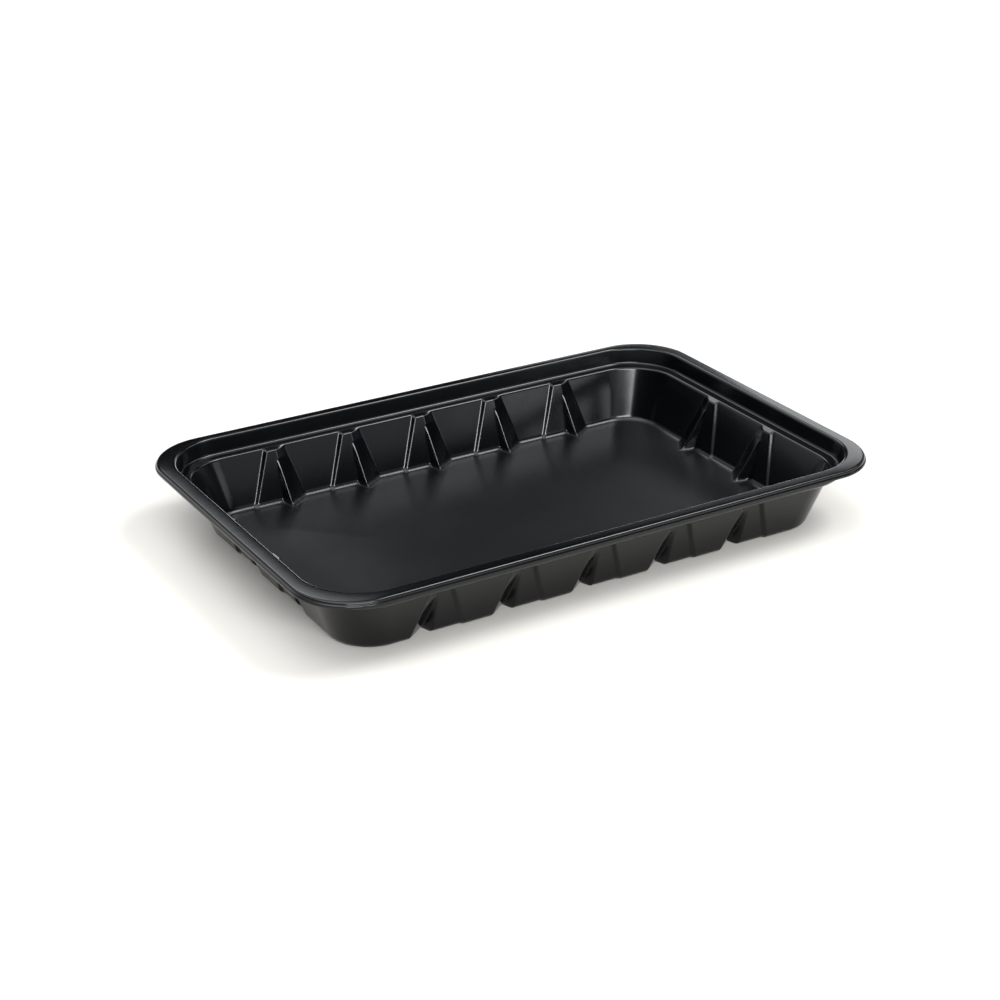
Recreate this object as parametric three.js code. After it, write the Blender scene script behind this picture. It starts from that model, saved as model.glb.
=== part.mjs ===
// A black food tray, pressed in one piece from thin sheet: a flat floor, drafted walls stiffened by
// tapered ribs, a ledge, an upright step and a flange whose edge turns down into a short lip.
// Millimetres, +Z up. The origin is the middle of the base, and the tray stands on Z = 0.
// +X runs along the long side, and the tray is open upwards.

import * as THREE from "three";

// ---- driving dimensions ----
const length = 250;                 // overall, over the foot of the lip
const width = 162.5;
const height = 30;
const sheet = 1.0;                  // thickness of the pressed sheet

const flangeAtEnds = 6.6;           // outer edge to the step, on the two short sides
const flangeAtSides = 5.4;          // the same, on the two long sides
const stepDepth = 7.1;              // flange down to the ledge
const stepDraft = 0.9;
const ledgeWidth = 4.3;
const floorLength = 210.2;          // where the walls' inner faces would meet the floor
const floorWidth = 127.6;
const floorFillet = 1.7;            // leg of the chamfer that stands for the floor's fillet

const lipDrop = 2.8;                // flange top down to the lip's lower edge
const lipFoot = 0.4;                // how far the lip's lower edge stands out
const lipFootHeight = 0.5;
const flangeRound = 1.6;            // radius of the flange's outer edge

const flangeCorner = 24;            // corner radii in plan
const stepCorner = 23;
const ledgeCorner = 20;
const floorCorner = 15.5;
const cornerSegments = 8;

// ribs: outlines along the wall from the rib's own middle, at the floor and at the rib's top
const ribAtFloor = { start: -12.0, face: -10.8, crease: 0.8, ridge: 2.5, end: 11.5 };
const ribAtTop = { start: -3.6, face: -2.8, crease: 0.3, ridge: 1.2, end: 5.8 };
const ribFaceAtFloor = 1.0;         // how far the flat face stands off the wall
const ribFaceAtTop = 1.6;
const ribReach = 6.2;               // how far the ridge runs out over the floor
const ribTopDrop = 0.9;             // ledge down to the top edge of the flat face
const ribCapDrop = 0.25;            // ledge down to where the rib's cap leaves the wall
const ridgeStartDrop = 5.0;         // ledge down to where the ridge leaves the flat face
// on the rib's hollow side its edges move so that the sheet stays as thick
const hollowShift = { start: 0.5, face: 0.5, crease: 0.7, ridge: 0.6, end: -0.4 };
const hollowRidgeLoss = 0.5;
const longPitch = 34.4;
const longShift = -2.5;             // the long walls' rows of ribs sit a little towards -X
const longRibs = [-2, -1, 0, 1, 2].map((step) => step * longPitch + longShift);
const endRibs = [-19, 19];

// ---- levels and reaches worked out from them ----
const ledgeTop = height - stepDepth;
const outer = { x: length / 2, y: width / 2 };
const lip = inset(outer, lipFoot);
const flangeInner = { x: outer.x - flangeAtEnds, y: outer.y - flangeAtSides };
const ledgeOuter = inset(flangeInner, stepDraft);
const wallTop = inset(ledgeOuter, ledgeWidth);
const wallFoot = { x: floorLength / 2, y: floorWidth / 2 };
const wallRise = ledgeTop - sheet;

function inset(reach, distance) {
  return { x: reach.x - distance, y: reach.y - distance };
}

function mix(from, to, t) {
  return from + (to - from) * t;
}

// The inner face of the drafted wall at height z.
function wallAt(z) {
  const t = (z - sheet) / wallRise;
  return { x: mix(wallFoot.x, wallTop.x, t), y: mix(wallFoot.y, wallTop.y, t) };
}

function wallCornerAt(z) {
  return mix(floorCorner, ledgeCorner, (z - sheet) / wallRise);
}

// How far the flat face and the ridge of a rib stand off the wall at height z. The cap at the
// top brings both back to the wall. side tells how the hollow differs from the rib's own side.
function ribDepths(z, side) {
  const topEdge = ledgeTop - ribTopDrop - side.drop;
  const capEdge = ledgeTop - ribCapDrop - side.drop;
  const ridgeEdge = ledgeTop - ridgeStartDrop - side.drop;
  const rise = THREE.MathUtils.clamp((z - sheet) / (topEdge - sheet), 0, 1);
  const cap = THREE.MathUtils.clamp((capEdge - z) / (capEdge - topEdge), 0, 1);
  const face = mix(ribFaceAtFloor, ribFaceAtTop, rise) * cap;
  const fall = THREE.MathUtils.clamp((ridgeEdge - z) / (ridgeEdge - sheet), 0, 1);
  const ridge = face + (ribReach - ribFaceAtFloor - side.loss) * fall;
  return { start: 0, face, crease: face, ridge, end: 0 };
}

// The place of one of a rib's five edges along the wall at height z.
function ribPlace(edge, z, side) {
  const t = THREE.MathUtils.clamp((z - sheet) / (ledgeTop - ribTopDrop - sheet), 0, 1);
  return mix(ribAtFloor[edge], ribAtTop[edge], t) + side.shift[edge];
}

// ---- the sheet as rings: each ring is one turn round the tray at one height ----
// reach is the half length and half width, corner the radius in plan. rib, where it is given,
// is the side of the sheet whose ribs the ring follows.
const inside = { drop: 0, loss: 0, shift: { start: 0, face: 0, crease: 0, ridge: 0, end: 0 } };
const outside = { drop: sheet - ribCapDrop, loss: hollowRidgeLoss, shift: hollowShift };

function wallRing(z, side, extra = 0) {
  const reach = inset(wallAt(z), extra);
  return { reach, corner: wallCornerAt(z) - extra, z, rib: side, ribZ: z };
}

function plainRing(reach, corner, z) {
  return { reach, corner, z, rib: null, ribZ: z };
}

function topRings() {
  const roundStep = flangeRound * (1 - Math.SQRT1_2);
  return [
    wallRing(sheet, inside, floorFillet),
    wallRing(sheet + floorFillet, inside),
    wallRing(ledgeTop - ridgeStartDrop, inside),
    wallRing(ledgeTop - ribTopDrop, inside),
    wallRing(ledgeTop - ribCapDrop, inside),
    plainRing(wallTop, ledgeCorner, ledgeTop),
    plainRing(ledgeOuter, stepCorner, ledgeTop),
    plainRing(flangeInner, flangeCorner, height),
    plainRing(inset(lip, flangeRound), flangeCorner - flangeRound, height),
    plainRing(inset(lip, roundStep), flangeCorner - roundStep, height - roundStep),
    plainRing(lip, flangeCorner, height - flangeRound),
    plainRing(lip, flangeCorner, height - lipDrop + lipFootHeight + lipFoot),
    plainRing(outer, flangeCorner, height - lipDrop + lipFootHeight),
    plainRing(outer, flangeCorner, height - lipDrop),
  ];
}

function undersideRings() {
  const back = -sheet * 1.06;                           // sheet thickness across the drafted wall
  const footRise = 1.4;
  const innerRound = flangeRound - sheet;
  const lipInner = inset(lip, sheet);
  const stepOuter = inset(flangeInner, -sheet);
  const outerWall = (z) => wallRing(z, outside, back);
  const base = outerWall(sheet);
  base.reach = inset(base.reach, footRise);
  base.corner -= footRise;
  base.z = 0;
  return [
    plainRing(lipInner, flangeCorner - sheet, height - lipDrop),
    plainRing(lipInner, flangeCorner - sheet, height - flangeRound),
    plainRing(inset(lipInner, innerRound), flangeCorner - flangeRound, height - sheet),
    plainRing(stepOuter, flangeCorner + sheet, height - sheet),
    plainRing(inset(ledgeOuter, -sheet), stepCorner + sheet, ledgeTop - sheet),
    outerWall(ledgeTop - ribCapDrop - outside.drop),
    outerWall(ledgeTop - ribTopDrop - outside.drop),
    outerWall(ledgeTop - ridgeStartDrop - outside.drop),
    outerWall(footRise),
    base,
  ];
}

// One column for every edge of every rib, and for every step round a corner, anticlockwise from
// the +X wall. On opposite walls the ribs are turned half round, so sign also mirrors the outline.
function columns() {
  const ribColumns = (axis, sign, centres, direction) => {
    const list = centres.flatMap((centre) =>
      Object.keys(ribAtFloor).map((edge) => ({ axis, sign, centre, edge })));
    const along = (column) => column.centre + sign * ribAtFloor[column.edge];
    return list.sort((a, b) => direction * (along(a) - along(b)));
  };
  const cornerColumns = (sx, sy, fromAngle) =>
    Array.from({ length: cornerSegments + 1 }, (_, i) => (
      { sx, sy, angle: fromAngle + (i / cornerSegments) * Math.PI / 2 }));
  return [
    ...ribColumns("x", 1, endRibs, 1),
    ...cornerColumns(1, 1, 0),
    ...ribColumns("y", 1, longRibs, -1),
    ...cornerColumns(-1, 1, Math.PI / 2),
    ...ribColumns("x", -1, endRibs, -1),
    ...cornerColumns(-1, -1, Math.PI),
    ...ribColumns("y", -1, longRibs, 1),
    ...cornerColumns(1, -1, 3 * Math.PI / 2),
  ];
}

function pointOn(ring, column) {
  const { reach, corner: radius, z } = ring;
  if (column.edge === undefined) {
    return [
      column.sx * (reach.x - radius) + radius * Math.cos(column.angle),
      column.sy * (reach.y - radius) + radius * Math.sin(column.angle),
      z,
    ];
  }
  const side = ring.rib ?? inside;
  const place = ribPlace(column.edge, ring.ribZ, side);
  const depth = ring.rib ? ribDepths(ring.ribZ, side)[column.edge] : 0;
  const along = column.centre + column.sign * place;
  const out = column.sign * (reach[column.axis] - depth);
  return column.axis === "x" ? [out, along, z] : [along, out, z];
}

// Joins the rings into one closed skin: floor, inside, rim, outside, base. Both sides of the sheet
// are cut along the same diagonals, so that the twisted faces of the ribs stay evenly thick.
function trayGeometry() {
  const turn = topRings().length;
  const rings = [...topRings(), ...undersideRings()];
  const around = columns();
  const count = around.length;
  const positions = rings.flatMap((ring) => around.flatMap((column) => pointOn(ring, column)));
  const triangles = [];
  for (let row = 0; row + 1 < rings.length; row += 1) {
    for (let i = 0; i < count; i += 1) {
      const j = (i + 1) % count;
      const a = row * count + i;
      const b = row * count + j;
      if (row < turn) {
        triangles.push(a, a + count, b, b, a + count, b + count);
      } else {
        triangles.push(a, a + count, b + count, a, b + count, b);
      }
    }
  }
  const cap = (row, upwards) => {
    const outline = around.map((column) => new THREE.Vector2(...pointOn(rings[row], column)));
    for (const [a, b, c] of THREE.ShapeUtils.triangulateShape(outline, [])) {
      const face = upwards ? [a, b, c] : [a, c, b];
      triangles.push(...face.map((index) => row * count + index));
    }
  };
  cap(0, true);
  cap(rings.length - 1, false);
  const geometry = new THREE.BufferGeometry();
  geometry.setAttribute("position", new THREE.Float32BufferAttribute(positions, 3));
  geometry.setIndex(triangles);
  return geometry;
}

const blackSheet = new THREE.MeshStandardMaterial({ color: 0x15171a, roughness: 0.36, metalness: 0 });
const tray = new THREE.Mesh(trayGeometry(), blackSheet);
tray.name = "tray";

const group = new THREE.Group();
group.add(tray);

export default group;
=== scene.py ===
# %% [markdown]
# # A black food tray, pressed from thin sheet
# The real tray is one piece: a sheet of black plastic, warmed and drawn down over a mould. The
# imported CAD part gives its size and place, and this lesson makes the piece that is seen: the same
# sheet with rounded bends, soft ribs and a satin skin. Blender works in metres, but a maker draws
# such a tray in millimetres, so the tray's sizes below are too.

import math

import bpy
import numpy as np
from mathutils import Matrix, Vector


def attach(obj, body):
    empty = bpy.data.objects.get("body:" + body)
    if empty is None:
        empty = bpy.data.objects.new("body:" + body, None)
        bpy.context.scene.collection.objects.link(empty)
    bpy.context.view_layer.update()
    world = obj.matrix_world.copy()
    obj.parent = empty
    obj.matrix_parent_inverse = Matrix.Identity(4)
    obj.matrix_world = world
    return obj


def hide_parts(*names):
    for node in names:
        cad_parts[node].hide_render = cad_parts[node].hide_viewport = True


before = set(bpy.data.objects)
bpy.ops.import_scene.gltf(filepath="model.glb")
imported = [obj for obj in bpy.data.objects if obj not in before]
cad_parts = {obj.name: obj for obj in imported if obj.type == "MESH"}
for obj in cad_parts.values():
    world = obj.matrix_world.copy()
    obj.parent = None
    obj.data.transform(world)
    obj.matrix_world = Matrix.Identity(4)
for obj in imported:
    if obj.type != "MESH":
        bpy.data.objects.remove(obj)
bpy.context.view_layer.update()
MM = 0.001


# %% [markdown]
# ## The tray's sizes
# Every ring round the tray is a rectangle with rounded corners: a half length, a half width, a
# corner radius and a height. Where the sheet bends, such a ring is one of the profile's corners.
# So the whole tray is drawn with a few rings, worked out from the sizes that a maker would give.

# %% Sizes of the tray, in millimetres
HEIGHT, SHEET, LEDGE = 30.0, 1.0, 22.9      # overall height, sheet's thickness, ledge's height
OUTER = np.array([125.0, 81.25])            # half length and half width, over the lip's foot
LIP_DROP, LIP_FOOT = 2.8, 0.4               # the lip's height, and how far its foot stands out
FOOT_HEIGHT, FOOT_FLARE = 0.8, 0.5          # the foot's upright part, and the slope above it
FLANGE_WIDTHS = np.array([6.6, 5.4])        # at the short walls and at the long walls
FLANGE_FALL = 0.5                           # how far the flange slopes down to its edge
STEP_DRAFT, LEDGE_WIDTH = 0.9, 4.3
FLOOR_CROWN = 0.6                           # how far the middle of the floor is raised
FLOOR_CORNER, LEDGE_CORNER, STEP_CORNER, FLANGE_CORNER = 15.5, 20.0, 23.0, 24.0
LIP = OUTER - LIP_FOOT
FLANGE_INNER = OUTER - FLANGE_WIDTHS
LEDGE_OUTER = FLANGE_INNER - STEP_DRAFT
WALL_TOP = LEDGE_OUTER - LEDGE_WIDTH
WALL_FOOT = np.array([105.1, 63.8])         # where the wall's inner face would meet the floor
SLOPE_GAP = 1.06 * SHEET                    # the sheet, measured level through the wall


def ring(reach, corner, z):
    """One turn round the tray: half length, half width, corner radius, height."""
    return np.array([reach[0], reach[1], corner, z], float)


def wall_ring(z, gap=0.0):
    """The drafted wall's ring at height z, set outwards by gap."""
    t = (z - SHEET) / (LEDGE - SHEET)
    reach = WALL_FOOT + (WALL_TOP - WALL_FOOT) * t + gap
    return ring(reach, FLOOR_CORNER + (LEDGE_CORNER - FLOOR_CORNER) * t + gap, z)


print("flange inner edge:", FLANGE_INNER, "wall top:", WALL_TOP)


# %% [markdown]
# ## Rounding the bends
# A pressed sheet has no sharp bends, and the thin bright lines in the photograph are its rounded
# edges catching the light. A Bevel modifier could round them, but it would fight with the ribs.
# Here the profile is rounded first, as a drawing would be: each corner becomes a short arc, and
# its leg is the length that the arc takes from each side of the corner. An arc drawn as a
# rational curve stays true when the long and the short walls slope differently. The wall between
# two arcs then gets rows of its own, so that it can follow the ribs.

# %% Helpers that round a profile and divide its wall
LEAST_STRETCH = 2.0     # a stretch lower than this gets no rows of its own
CLEAR_OF_ARC = 0.05     # and no row comes closer than this to the end of an arc


def rounded(knots):
    """Turns (ring, leg, steps) corners into rows of rings. The first and last stay sharp."""
    rows = [knots[0][0]]
    for before, (corner, leg, steps), after in zip(knots, knots[1:], knots[2:]):
        into, out = corner - before[0], after[0] - corner
        # the shape across the long wall (half width and height) sets the bend's angle
        a, b = into[[1, 3]], out[[1, 3]]
        la, lb = np.linalg.norm(a), np.linalg.norm(b)
        turn = math.acos(float(np.clip(a @ b / (la * lb), -1.0, 1.0)))
        start, end = corner - into * leg / la, corner + out * leg / lb
        weight = math.cos(turn / 2)
        for step in range(steps + 1):
            t = step / steps
            w = np.array([(1 - t) ** 2, 2 * weight * t * (1 - t), t * t])
            rows.append((w[0] * start + w[1] * corner + w[2] * end) / w.sum())
    rows.append(knots[-1][0])
    return rows


def subdivided(rows, low, high, heights):
    """Adds rows at the given heights to the long straight stretch between low and high."""
    made = []
    for a, b in zip(rows, rows[1:]):
        made.append(a)
        bottom, top = min(a[3], b[3]), max(a[3], b[3])
        if low <= bottom and top <= high and top - bottom > LEAST_STRETCH:
            inner = [z for z in heights if bottom + CLEAR_OF_ARC < z < top - CLEAR_OF_ARC]
            for z in sorted(inner, reverse=bool(b[3] < a[3])):
                made.append(a + (b - a) * (z - a[3]) / (b[3] - a[3]))
    made.append(rows[-1])
    return made


print("stretches over", LEAST_STRETCH, "mm high are divided")


# %% [markdown]
# ## The profile
# The sheet has two sides. The inner one is drawn from the floor up the wall, over the ledge and
# the flange, and down the lip. The outer one goes back from the lip's inside to the base. The
# first and the last ring of each list only give the arc beside them its direction, so they are
# left out of the rows.

# %% Rows of rings for both sides of the sheet
FLOOR_LEG, BASE_LEG = 1.9, 2.3              # the bends between the floor and the wall
FLOOR_RUN, BASE_RUN = 6.0, 7.0              # how far in from them the first and last rings lie
CRISP, FOOT_EDGE = 0.12, 0.2                # the legs of the lip's crisp edges
UNDER_FLANGE = 0.9                          # how far below the flange the outer side begins
RIB_HEIGHTS = [3.4, 4.4, 5.8, 7.4, 9.0, 10.6, 12.2, 13.8, 15.2, 16.3, 17.0, 17.5, 17.9, 18.3,
               18.8, 19.6, 20.3, 20.7, 21.0, 21.25, 21.5, 21.7, 21.9]
FOOT_TOP = HEIGHT - LIP_DROP + FOOT_HEIGHT
LIP_INNER, LIP_INNER_CORNER = LIP - SHEET, FLANGE_CORNER - SHEET

inside_rows = subdivided(rounded([
    (wall_ring(SHEET, -FLOOR_RUN), 0, 0),
    (wall_ring(SHEET), FLOOR_LEG, 9),
    (ring(WALL_TOP, LEDGE_CORNER, LEDGE), 0.75, 9),
    (ring(LEDGE_OUTER, STEP_CORNER, LEDGE), 0.9, 6),
    (ring(FLANGE_INNER, FLANGE_CORNER, HEIGHT), 1.0, 7),
    (ring(LIP, FLANGE_CORNER, HEIGHT - FLANGE_FALL), 0.85, 9),
    (ring(LIP, FLANGE_CORNER, FOOT_TOP + FOOT_FLARE), CRISP, 4),
    (ring(OUTER, FLANGE_CORNER, FOOT_TOP), FOOT_EDGE, 4),
    (ring(OUTER, FLANGE_CORNER, HEIGHT - LIP_DROP), CRISP, 3),
    (ring(LIP_INNER, LIP_INNER_CORNER, HEIGHT - LIP_DROP), CRISP, 3),
    (ring(LIP_INNER, LIP_INNER_CORNER, HEIGHT - SHEET), 0, 0),
]), SHEET, LEDGE, RIB_HEIGHTS)[1:-1]
outside_rows = subdivided(rounded([
    (ring(LIP_INNER, LIP_INNER_CORNER, HEIGHT - SHEET - UNDER_FLANGE), 0, 0),
    (ring(LIP_INNER, LIP_INNER_CORNER, HEIGHT - FLANGE_FALL - SHEET), 0.65, 4),
    (ring(FLANGE_INNER + SHEET, FLANGE_CORNER + SHEET, HEIGHT - SHEET), 0.3, 3),
    (ring(LEDGE_OUTER + SHEET, STEP_CORNER + SHEET, LEDGE - SHEET), 2.4, 9),
    (wall_ring(LEDGE - SHEET, SLOPE_GAP), 0.3, 3),
    (wall_ring(0.0, SLOPE_GAP), BASE_LEG, 9),
    (wall_ring(0.0, SLOPE_GAP - BASE_RUN), 0, 0),
]), 0.0, LEDGE, RIB_HEIGHTS)[1:-1]
print("rows inside:", len(inside_rows), "rows outside:", len(outside_rows))


# %% [markdown]
# ## Where the ribs stand
# Each wall carries tapered ribs: five on a long wall, two on a short one. A rib is a flat face
# that leans out of the wall, with a sharp ridge along one side that runs out on to the floor.
# Five edges mark it: where it starts, where the flat face begins, the crease, the ridge, and
# where it ends. They stand further apart at the floor than at the top. A mesh can only bend
# along its own edges, so the columns of this mesh follow those five slanted edges, with a few
# columns on each side for the rounding.

# %% The ribs' edges and the columns near them, in millimetres
EDGES = ["start", "face", "crease", "ridge", "end"]
AT_FLOOR = dict(start=-12.0, face=-10.8, crease=0.8, ridge=2.5, end=11.5)
AT_TOP = dict(start=-3.9, face=-2.8, crease=0.3, ridge=1.2, end=5.8)
HOLLOW_SHIFT = dict(start=0.5, face=0.5, crease=0.7, ridge=0.6, end=-0.4)
NEAR = dict(start=[-0.5, -0.25, 0.0, 0.25, 0.48], face=[-0.48, -0.25, 0.0, 0.25, 0.5],
            crease=[-0.5, -0.25, 0.0, 0.2, 0.36], ridge=[-0.36, -0.18, 0.0, 0.25, 0.5],
            end=[-0.5, -0.25, 0.0, 0.25, 0.5])
PARTS_AFTER = dict(face=6, ridge=5)         # how many strips follow these two edges
CLEAR_OF_RIB = 0.6                          # the plain wall's columns keep this far from a rib
TOP_DROP = 1.0                              # the ledge down to the top of a rib's flat face
LONG_PITCH, LONG_SHIFT = 34.4, -2.5         # the long walls' rows sit a little towards -X
LONG_RIBS = [LONG_PITCH * k + LONG_SHIFT for k in (-2, -1, 0, 1, 2)]
END_RIBS = [-19.0, 19.0]
print("ribs:", 2 * len(LONG_RIBS) + 2 * len(END_RIBS))


# %% [markdown]
# ## Columns round the tray
# Going round anticlockwise from the +X wall, each wall gives its ribs' columns and each corner
# gives a fan of even steps. A column remembers two places along the wall, one at the floor and
# one at the ribs' top, and is drawn slanted between them. On the opposite wall the row of ribs
# is turned half round, which the sign takes care of.

# %% Columns that follow the ribs' edges
CORNER_STEPS = 22


def beside(edge, near):
    """A column near one of a rib's edges: its place at the floor, at the top, and its shift."""
    return AT_FLOOR[edge] + near, AT_TOP[edge] + near, HOLLOW_SHIFT[edge]


def one_rib():
    """All the columns of one rib, measured from the rib's own middle."""
    made = []
    for edge, following in zip(EDGES, EDGES[1:] + [None]):
        made += [beside(edge, near) for near in NEAR[edge]]
        if edge in PARTS_AFTER:
            a, b, parts = made[-1], beside(following, NEAR[following][0]), PARTS_AFTER[edge]
            made += [tuple(p + (q - p) * k / parts for p, q in zip(a, b))
                     for k in range(1, parts)]
    return made


def rib_columns(axis, sign, centres, direction):
    """Columns of one wall, as (kind, axis, sign, centre, floor place, top place, shift)."""
    made = [("rib", axis, sign, centre) + column for centre in centres for column in one_rib()]
    from_floor, to_floor = AT_FLOOR["end"] + CLEAR_OF_RIB, AT_FLOOR["start"] - CLEAR_OF_RIB
    from_top, to_top = AT_TOP["end"] + CLEAR_OF_RIB, AT_TOP["start"] - CLEAR_OF_RIB
    for low, high in zip(centres, centres[1:]):
        # two columns in the plain wall between neighbours keep its quads even
        for part in (1 / 3, 2 / 3):
            floor = from_floor + (high - low + to_floor - from_floor) * part
            top = from_top + (high - low + to_top - from_top) * part
            made.append(("rib", axis, sign, low if sign > 0 else high, floor, top, 0.0))
    return sorted(made, key=lambda column: direction * (column[3] + column[2] * column[4]))


def corner_columns(sx, sy, start):
    """A quarter turn of columns, as (kind, side in x, side in y, angle)."""
    angles = [start + math.pi / 2 * i / CORNER_STEPS for i in range(CORNER_STEPS + 1)]
    return [("corner", sx, sy, angle) for angle in angles]


columns = (rib_columns(0, 1, END_RIBS, 1) + corner_columns(1, 1, 0.0)
           + rib_columns(1, 1, LONG_RIBS, -1) + corner_columns(-1, 1, math.pi / 2)
           + rib_columns(0, -1, END_RIBS, -1) + corner_columns(-1, -1, math.pi)
           + rib_columns(1, -1, LONG_RIBS, 1) + corner_columns(1, -1, 1.5 * math.pi))
print("columns round the tray:", len(columns))


# %% [markdown]
# ## The floor
# The floor is flat near the walls, where the tray stands and the ribs run out, and its middle is
# raised by a few tenths of a millimetre. A real pressed floor is never quite flat, and the slight
# bulge lets its reflections fade softly. Its rings follow the wall's foot inwards at the same
# distance all round, so the mesh stays even. The ribs' push fades out over the flat border.

# %% Rings of the floor
FLOOR_INSETS = [2.0, 4.5, 7.5, 10.5, 13.0, 17.0, 21.0, 26.0, 34.0, 44.0, 54.0]
FLAT_EDGE, STEEPEST = 13.0, 26.0
LEAST_CORNER = 2.0


def crown(inset):
    """The floor's rise: its slope grows from the flat edge to the steepest place, then fades."""
    grow, fall = STEEPEST - FLAT_EDGE, FLOOR_INSETS[-1] - STEEPEST
    up = min(max(inset - FLAT_EDGE, 0.0), grow)
    on = min(max(inset - STEEPEST, 0.0), fall)
    rise = up * up / (2 * grow) + on - on * on / (2 * fall)
    return FLOOR_CROWN * rise / ((grow + fall) / 2)


def floor_ring(z, gap, inset):
    """A ring on the floor, so far in from the bend at the wall's foot."""
    made = wall_ring(z, gap - inset)
    made[2] = max(made[2], LEAST_CORNER)
    made[3] = z + crown(inset)
    return made


def fade(inset):
    """How much of a rib's push is left on the flat floor, so far in from the bend."""
    return max(0.0, 1.0 - inset / FLAT_EDGE)


print("floor's rise:", [round(crown(inset), 3) for inset in FLOOR_INSETS])


# %% [markdown]
# ## The plain sheet
# The rows and columns meet in points: up the inside, over the flange, down the lip, back along
# the underside and across the base. The ribs are not pressed in yet. Each point only remembers
# how far along its wall it is from the rib's middle, how high it is, which way is inwards, and
# whether it is on the hollow side.

# %% Every point of the plain sheet
FAR = 99.0              # corner points are far from any rib
NO_PUSH = 0.2           # nothing is pushed this close to the ledge


def straights(row):
    """Half the straight run of the short and of the long wall."""
    return row[1] - row[2], row[0] - row[2]


def point(row, column, hollow, squeeze):
    """The point's place, and what the ribs need to know about it."""
    hx, hy, corner, z = row
    if column[0] == "corner":
        _, sx, sy, angle = column
        place = (sx * (hx - corner) + corner * math.cos(angle),
                 sy * (hy - corner) + corner * math.sin(angle), z)
        return place, FAR, (0.0, 0.0, 0.0)
    _, axis, sign, centre, floor, top, shift = column
    t = min(max((z - SHEET) / (LEDGE - TOP_DROP - SHEET), 0.0), 1.0)
    along = floor + (top - floor) * t + (shift if hollow else 0.0)
    run, out = (centre + sign * along) * squeeze[axis], sign * row[axis]
    place = (out, run, z) if axis == 0 else (run, out, z)
    inwards = (-sign, 0.0, 0.0) if axis == 0 else (0.0, -sign, 0.0)
    return place, along, inwards


# each row is (ring, share of the ribs' push, hollow side or not, its foot's straights or None)
foot_inside, foot_outside = straights(inside_rows[0]), straights(outside_rows[-1])
rows = []
for inset in reversed(FLOOR_INSETS):
    rows.append((floor_ring(SHEET, -FLOOR_LEG, inset), fade(inset), 0, foot_inside))
for made in inside_rows:
    rows.append((made, 1.0 if made[3] < LEDGE - NO_PUSH else 0.0, 0, None))
for made in outside_rows:
    rows.append((made, 1.0 if made[3] < LEDGE - SHEET - NO_PUSH else 0.0, 1, None))
for inset in FLOOR_INSETS:
    rows.append((floor_ring(0.0, SLOPE_GAP - BASE_LEG, inset), fade(inset), 1, foot_outside))

places, alongs, heights, pushes, hollows = [], [], [], [], []
for made, share, hollow, foot in rows:
    # inwards over the floor the straight runs get shorter, and the columns close up with them
    squeeze = tuple(a / b for a, b in zip(straights(made), foot)) if foot else (1.0, 1.0)
    for column in columns:
        place, along, inwards = point(made, column, hollow, squeeze)
        places.append([c * MM for c in place])
        alongs.append(along)
        heights.append(made[3])
        pushes += [c * share for c in inwards]
        hollows.append(float(hollow))
print("points:", len(places))


# %% [markdown]
# ## One closed skin
# Neighbouring rows are joined by quads, and the floor's and the base's middle are closed by one
# flat face each. What the points remember is stored as mesh attributes, where the ribs' nodes
# can read it.

# %% Join the points into a mesh
count = len(columns)
faces = []
for first in range(0, (len(rows) - 1) * count, count):
    for i in range(count):
        j = (i + 1) % count
        faces.append([first + count + i, first + count + j, first + j, first + i])
faces.append(list(range(count)))
faces.append(list(range(len(places) - count, len(places)))[::-1])

mesh = bpy.data.meshes.new("pressed_tray")
mesh.from_pydata(places, [], faces)
for name, values in (("rib_along", alongs), ("rib_height", heights), ("rib_hollow", hollows)):
    mesh.attributes.new(name, "FLOAT", "POINT").data.foreach_set("value", values)
mesh.attributes.new("rib_push", "FLOAT_VECTOR", "POINT").data.foreach_set("vector", pushes)
mesh.validate()
mesh.shade_smooth()
tray = bpy.data.objects.new("pressed_tray", mesh)
bpy.context.scene.collection.objects.link(tray)
print("plain sheet:", len(mesh.vertices), "points,", len(mesh.polygons), "faces")


# %% [markdown]
# ## Writing node trees as sums
# Both the ribs and the plastic need arithmetic in nodes. A tree of Math nodes is hard to read, so
# one small class wraps a socket, and Python's own signs add the nodes.

# %% A socket that can be added and multiplied
class Flow:
    """A node socket that Python's operators can be used on."""

    def __init__(self, tree, socket):
        self.tree, self.socket = tree, socket

    def node(self, kind, settings=None, out=0, **inputs):
        """Adds any node to this tree: its type, its settings, its sockets' values or links."""
        return add_node(self.tree, kind, settings, out, **inputs)

    def math(self, operation, *others, clamp=False):
        settings = {"operation": operation, "use_clamp": clamp}
        values = {f"i{k + 1}": value for k, value in enumerate(others)}
        return self.node("ShaderNodeMath", settings, i0=self, **values)

    def __add__(self, other):
        return self.math("ADD", other)

    def __sub__(self, other):
        return self.math("SUBTRACT", other)

    def __mul__(self, other):
        return self.math("MULTIPLY", other)

    def __truediv__(self, other):
        return self.math("DIVIDE", other)

    def __rsub__(self, other):
        return self.node("ShaderNodeMath", {"operation": "SUBTRACT"}, i0=other, i1=self)

    def __rtruediv__(self, other):
        return self.node("ShaderNodeMath", {"operation": "DIVIDE"}, i0=other, i1=self)

    __radd__ = __add__
    __rmul__ = __mul__

    def clamped(self):
        """The value, held between 0 and 1."""
        return self.math("ADD", 0.0, clamp=True)

    def above_zero(self):
        return self.math("MAXIMUM", 0.0)


def add_node(tree, kind, settings=None, out=0, **inputs):
    """One node with its settings and inputs; i0, i1 and so on name inputs by their order."""
    node = tree.nodes.new(kind)
    for name, value in (settings or {}).items():
        setattr(node, name, value)
    for name, value in inputs.items():
        if name[0] == "i" and name[1:].isdigit():
            socket = node.inputs[int(name[1:])]
        else:
            socket = node.inputs[name.replace("_", " ")]
        if isinstance(value, Flow):
            tree.links.new(value.socket, socket)
        else:
            socket.default_value = value
    return Flow(tree, node.outputs[out])


print("node helper ready")


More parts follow.
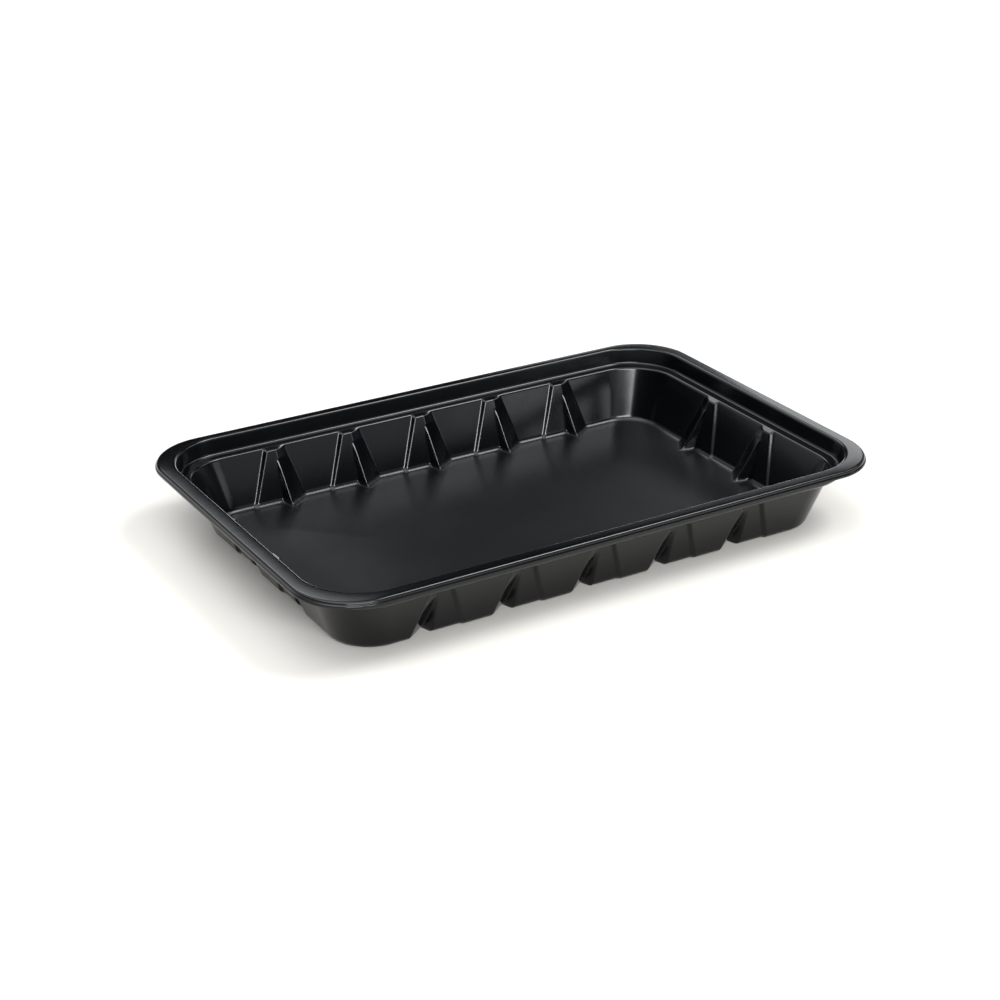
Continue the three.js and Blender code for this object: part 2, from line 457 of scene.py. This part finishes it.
# %% [markdown]
# ## A soft ramp
# The ribs are sums of ramps: a ramp is nothing up to a place and then rises evenly. A hard ramp
# would give creases, so this small group rounds the place where the ramp takes off. Its softness
# is half the width of that rounding.

# %% The soft ramp as a node group
def soft_ramp_group():
    group = bpy.data.node_groups.new("soft_ramp", "GeometryNodeTree")
    face = group.interface
    face.new_socket("Past", in_out="INPUT", socket_type="NodeSocketFloat")
    face.new_socket("Softness", in_out="INPUT", socket_type="NodeSocketFloat")
    face.new_socket("Ramp", in_out="OUTPUT", socket_type="NodeSocketFloat")
    entry = group.nodes.new("NodeGroupInput")
    past, soft = Flow(group, entry.outputs["Past"]), Flow(group, entry.outputs["Softness"])
    part = ((past + soft) / (soft * 2.0)).clamped()
    ramp = soft * part * part + (past - soft).above_zero()
    leave = group.nodes.new("NodeGroupOutput")
    group.links.new(ramp.socket, leave.inputs["Ramp"])
    return group


RAMP = soft_ramp_group()
print("nodes in the soft ramp:", len(RAMP.nodes))


# %% [markdown]
# ## The ribs' sizes
# These become the named inputs of the ribs' node tree. On the hollow side the edges are shifted
# a little and the cap sits lower, so that the sheet stays about as thick everywhere.

# %% Named sizes of a rib, in millimetres
CAP_DROP, RIDGE_DROP = 0.25, 4.7        # the ledge down to the cap's and the ridge's upper end
RIB_SIZES = {
    **{f"{edge.title()} at floor": AT_FLOOR[edge] for edge in EDGES},
    **{f"{edge.title()} at top": AT_TOP[edge] for edge in EDGES},
    **{f"{edge.title()} shift in hollow": HOLLOW_SHIFT[edge] for edge in EDGES},
    "Floor height": SHEET, "Top height": LEDGE - TOP_DROP, "Cap height": LEDGE - CAP_DROP,
    "Ridge height": LEDGE - RIDGE_DROP, "Face depth at floor": 1.0, "Face depth at top": 1.6,
    "Ridge reach": 6.3, "Cap drop in hollow": 0.75, "Reach lost in hollow": 0.5,
    "Softness": 0.3, "Softness up the wall": 0.25,
}
print("named sizes:", len(RIB_SIZES))


# %% [markdown]
# ## Pressing the ribs in
# The ribs repeat and follow a rule, so Geometry Nodes press them. At each point the tree works
# out how far the rib's surface stands off the wall and moves the point that far inwards. Along
# the wall the shape is a sum of five ramps, one at each edge: up to the flat face, level, up the
# steep side of the ridge, down the long slope behind it, and level again. Up the wall the flat
# face grows towards the top, where a cap brings it back, and the ridge fades out.

# %% The rib tree
def rib_tree(material):
    tree = bpy.data.node_groups.new("press_ribs", "GeometryNodeTree")
    face = tree.interface
    face.new_socket("Geometry", in_out="INPUT", socket_type="NodeSocketGeometry")
    for name, value in RIB_SIZES.items():
        socket = face.new_socket(name, in_out="INPUT", socket_type="NodeSocketFloat")
        socket.default_value = value
    face.new_socket("Geometry", in_out="OUTPUT", socket_type="NodeSocketGeometry")
    entry = tree.nodes.new("NodeGroupInput")
    size = {name: Flow(tree, entry.outputs[name]) for name in RIB_SIZES}

    def stored(name, kind="FLOAT"):
        return add_node(tree, "GeometryNodeInputNamedAttribute", {"data_type": kind}, Name=name)

    along, up, hollow = stored("rib_along"), stored("rib_height"), stored("rib_hollow")
    drop = hollow * size["Cap drop in hollow"]
    low, top = size["Floor height"], size["Top height"] - drop
    cap, ridge_top = size["Cap height"] - drop, size["Ridge height"] - drop
    share = ((up - low) / (size["Top height"] - low)).clamped()

    def edge(name):
        floor, high = size[f"{name} at floor"], size[f"{name} at top"]
        return floor + (high - floor) * share + hollow * size[f"{name} shift in hollow"]

    def ramp(past, softness="Softness"):
        return add_node(tree, "GeometryNodeGroup", {"node_tree": RAMP}, Past=past,
                        Softness=size[softness])

    def ramp_up(past):
        return ramp(past, "Softness up the wall")

    # up the wall: how deep the flat face and the ridge are at this height
    at_floor, at_top = size["Face depth at floor"], size["Face depth at top"]
    rise = (at_top - at_floor) / (top - low)
    fall = at_top / (cap - top)
    above_floor = (up - low).above_zero()
    face_depth = (at_floor + rise * above_floor - (rise + fall) * ramp_up(up - top)
                  + fall * ramp_up(up - cap)).above_zero()
    stand = size["Ridge reach"] - at_floor - hollow * size["Reach lost in hollow"]
    ridge_depth = stand * (ramp_up(ridge_top - up) / (ridge_top - low)).math("MINIMUM", 1.0)

    # along the wall: a ramp at each of the five edges
    start, begin, crease, ridge, end = (edge(name.title()) for name in EDGES)
    climb = face_depth / (begin - start)
    steep = ridge_depth / (ridge - crease)
    slope = (face_depth + ridge_depth) / (end - ridge)
    depth = (climb * ramp(along - start) - climb * ramp(along - begin)
             + steep * ramp(along - crease) - (steep + slope) * ramp(along - ridge)
             + slope * ramp(along - end))

    move = add_node(tree, "ShaderNodeVectorMath", {"operation": "SCALE"},
                    i0=stored("rib_push", "FLOAT_VECTOR"), Scale=depth * MM)
    pressed = add_node(tree, "GeometryNodeSetPosition",
                       i0=Flow(tree, entry.outputs["Geometry"]), Offset=move)
    real = add_node(tree, "GeometryNodeRealizeInstances", i0=pressed)
    painted = add_node(tree, "GeometryNodeSetMaterial", i0=real, Material=material)
    leave = tree.nodes.new("NodeGroupOutput")
    tree.links.new(painted.socket, leave.inputs["Geometry"])
    print("nodes in the rib tree:", len(tree.nodes))
    return tree


# %% [markdown]
# ## The plastic
# The real sheet is black plastic with a satin skin: nearly all that is seen of it is the studio
# reflected in it. So the colour is almost black and the work is in the reflections. Drawing the
# sheet leaves it very slightly wavy and unevenly polished, which two soft noises give. The floor
# lay on the mould's broad flat face, and it is a little more matt than the walls.

# %% The black plastic
FLOOR_TOP, FLOOR_BLEND = 1.8 * MM, 0.7 * MM         # the floor's own polish ends over this height
CLOUDS, GRAIN = 38.0, 900.0                         # the scales of the two noises
POLISH, CLOUD_POLISH, GRAIN_POLISH, FLOOR_POLISH = 0.13, 0.05, 0.02, 0.13
CLOUD_WAVES, GRAIN_WAVES = 0.25 * MM, 0.0025 * MM
DARKER, LIGHTER = (0.0008, 0.0010, 0.0013, 1.0), (0.0014, 0.0017, 0.0021, 1.0)


def black_plastic():
    material = bpy.data.materials.new("black_sheet_plastic")
    material.use_nodes = True
    tree = material.node_tree
    shader = tree.nodes["Principled BSDF"]
    shader.inputs["IOR"].default_value = 1.38
    where = add_node(tree, "ShaderNodeTexCoord", out="Object")
    cloudy = where.node("ShaderNodeTexNoise", {"noise_dimensions": "3D"}, out="Fac",
                        Vector=where, Scale=CLOUDS, Detail=3.0, Roughness=0.5)
    fine = where.node("ShaderNodeTexNoise", {"noise_dimensions": "3D"}, out="Fac",
                      Vector=where, Scale=GRAIN, Detail=2.0, Roughness=0.5)
    height = where.node("ShaderNodeSeparateXYZ", out=2, Vector=where)
    on_floor = 1.0 - ((height - FLOOR_TOP) / FLOOR_BLEND).clamped()
    polish = POLISH + cloudy * CLOUD_POLISH + fine * GRAIN_POLISH + on_floor * FLOOR_POLISH
    tree.links.new(polish.socket, shader.inputs["Roughness"])
    colour = where.node("ShaderNodeMix", {"data_type": "RGBA"}, out=2, Factor=cloudy,
                        i6=DARKER, i7=LIGHTER)
    tree.links.new(colour.socket, shader.inputs["Base Color"])
    waves = cloudy * CLOUD_WAVES + fine * GRAIN_WAVES
    bump = where.node("ShaderNodeBump", Strength=0.35, Distance=1.0, Height=waves)
    tree.links.new(bump.socket, shader.inputs["Normal"])
    return material


PLASTIC = black_plastic()
print("material:", PLASTIC.name)


# %% [markdown]
# ## The finished piece
# The modifier's inputs are set by their identifiers before it is first evaluated. Then the pressed
# result becomes a plain mesh, the modifier goes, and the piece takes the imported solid's place.

# %% Press the ribs and hand the piece to the frame
modifier = tray.modifiers.new("press_ribs", "NODES")
modifier.node_group = rib_tree(PLASTIC)
for item in modifier.node_group.interface.items_tree:
    if item.in_out == "INPUT" and item.name in RIB_SIZES:
        modifier[item.identifier] = RIB_SIZES[item.name]
bpy.context.view_layer.update()
evaluated = tray.evaluated_get(bpy.context.evaluated_depsgraph_get())
pressed_mesh = bpy.data.meshes.new_from_object(evaluated)
tray.modifiers.remove(modifier)
tray.data = pressed_mesh
for name in ("rib_along", "rib_height", "rib_hollow", "rib_push"):
    pressed_mesh.attributes.remove(pressed_mesh.attributes[name])
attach(tray, "root")
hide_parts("tray")
print("pressed tray:", len(pressed_mesh.polygons), "faces, materials:",
      [m.name for m in pressed_mesh.materials])


# %% [markdown]
# ## The studio floor
# The photograph is a product shot on white paper. The floor is a wide pale sheet. It is seen in
# the tray's sides as any floor would be, so it is not pure white.

# %% The pale floor
FLOOR_HALF = 6.0


def floor_material():
    material = bpy.data.materials.new("studio_floor")
    material.use_nodes = True
    shader = material.node_tree.nodes["Principled BSDF"]
    shader.inputs["Base Color"].default_value = (0.55, 0.525, 0.49, 1.0)
    shader.inputs["Roughness"].default_value = 0.9
    shader.inputs["Specular IOR Level"].default_value = 0.1
    return material


floor_mesh = bpy.data.meshes.new("studio_floor")
floor_mesh.from_pydata([(-FLOOR_HALF, -FLOOR_HALF, 0), (FLOOR_HALF, -FLOOR_HALF, 0),
                        (FLOOR_HALF, FLOOR_HALF, 0), (-FLOOR_HALF, FLOOR_HALF, 0)],
                       [], [(0, 1, 2, 3)])
floor_mesh.materials.append(floor_material())
floor = bpy.data.objects.new("studio_floor", floor_mesh)
bpy.context.scene.collection.objects.link(floor)
print("floor:", 2 * FLOOR_HALF, "m square")


# %% [markdown]
# ## The lamps
# A long bright card in front draws the thin lines along the edges of the ribs. A strip high on
# the right throws the soft shadow to the left. A broad softbox and three low cards light the
# flange and the right corner. All of them stand on one sphere round the tray, so each is given
# by two angles, the two angles that it fills, and how bright it looks from the tray.

# %% Six soft lamps
LIGHT_DISTANCE = 3.0
LIGHT_COLOUR = (0.95, 0.98, 1.0)


def towards(azimuth, elevation):
    """The direction at these angles round the tray, in degrees; azimuth 0 is along +X."""
    a, e = math.radians(azimuth), math.radians(elevation)
    return Vector((math.cos(a) * math.cos(e), math.sin(a) * math.cos(e), math.sin(e)))


def softbox(name, azimuth, elevation, wide, high, radiance):
    """A rectangular light facing the tray, filling so many degrees of azimuth and elevation."""
    across, up = (2 * LIGHT_DISTANCE * math.tan(math.radians(angle / 2)) for angle in (wide, high))
    across *= math.cos(math.radians(elevation))
    light = bpy.data.lights.new(name, "AREA")
    light.shape = "RECTANGLE"
    light.size, light.size_y = across, up
    light.energy = radiance * math.pi * across * up
    light.color = LIGHT_COLOUR
    lamp = bpy.data.objects.new(name, light)
    direction = towards(azimuth, elevation)
    lamp.location = direction * LIGHT_DISTANCE
    lamp.rotation_euler = direction.to_track_quat("Z", "Y").to_euler()
    bpy.context.scene.collection.objects.link(lamp)
    return lamp


lamps = [
    softbox("card_front", -105, 28, 46, 10, 28.0),
    softbox("strip_overhead_right", -28, 58, 40, 18, 18.0),
    softbox("softbox_right", -10, 37, 34, 20, 2.8),
    softbox("card_front_right_low", -52, 5, 16, 8, 4.5),
    softbox("card_behind_right_low", 48, 5, 24, 8, 3.4),
    softbox("card_behind_right", 42, 19, 12, 14, 1.8),
]
print("lamps:", [lamp.name for lamp in lamps])


# %% [markdown]
# ## The room
# The rest of the room is a dome of light, made of soft round patches: a broad one overhead, two
# high on the left, a small bright one behind, and four weak ones lower down. Between them the
# dome is dark, and the tray's floor and walls mirror those dark parts, so they stay black. A thin
# pale band along the horizon is the room's far wall. The photograph's tones are plain, so the
# picture is shown with the Standard view.

# %% The dome of light
DOME_PATCHES = [
    # azimuth, elevation, radius in degrees, brightness
    (-90, 74, 46, 1.8), (-150, 60, 36, 2.6), (140, 60, 36, 1.8), (80, 42, 17, 4.4),
    (44, 25, 13, 0.8), (14, 10, 20, 0.7), (-75, 16, 22, 0.9), (125, 18, 22, 1.2),
]
HORIZON = 0.8                               # brightness of the pale band
BAND_TOP, BAND_FADE = 0.03, 0.1             # as the sine of the elevation
DOME_COLOUR = (0.94, 0.97, 1.0, 1.0)


def studio_world():
    made = bpy.data.worlds.new("studio")
    made.use_nodes = True
    tree = made.node_tree
    direction = add_node(tree, "ShaderNodeTexCoord", out="Generated")
    height = direction.node("ShaderNodeSeparateXYZ", out=2, Vector=direction)
    strength = (1.0 - ((height - BAND_TOP) / BAND_FADE).clamped()) * HORIZON
    for azimuth, elevation, radius, brightness in DOME_PATCHES:
        middle = tuple(towards(azimuth, elevation))
        facing = direction.node("ShaderNodeVectorMath", {"operation": "DOT_PRODUCT"}, out="Value",
                                i0=direction, i1=middle)
        rim = math.cos(math.radians(radius))
        inside = ((facing - rim) / (1.0 - rim)).clamped()
        strength = strength + inside * inside * (3.0 - 2.0 * inside) * brightness
    background = tree.nodes["Background"]
    background.inputs["Color"].default_value = DOME_COLOUR
    tree.links.new(strength.socket, background.inputs["Strength"])
    return made


bpy.context.scene.world = studio_world()
bpy.context.scene.view_settings.view_transform = "Standard"
print("patches in the dome:", len(DOME_PATCHES))


# %% [markdown]
# ## The camera
# The photograph looks down on the tray from in front, a little to the left. Its angle, its lens
# and the point it looks at were fitted to the tray's outline in the photograph.

# %% The photograph's camera
SENSOR, LENS = 36.0, 74.55
AIM = Vector((-26.33, -34.29, 29.94)) * MM
CAMERA_AZIMUTH, CAMERA_ELEVATION, CAMERA_DISTANCE = -121.24, 24.98, 777.3 * MM

back = towards(CAMERA_AZIMUTH, CAMERA_ELEVATION)
right = towards(CAMERA_AZIMUTH + 90.0, 0.0)
above = back.cross(right)
eye = AIM + back * CAMERA_DISTANCE
camera_data = bpy.data.cameras.new("photo_camera")
camera_data.lens, camera_data.sensor_width = LENS, SENSOR
camera = bpy.data.objects.new("photo_camera", camera_data)
turned = Matrix((right, above, back)).transposed().to_4x4()
camera.matrix_world = Matrix.Translation(eye) @ turned
bpy.context.scene.collection.objects.link(camera)
bpy.context.scene.camera = camera
print("camera at", tuple(round(c, 4) for c in eye))
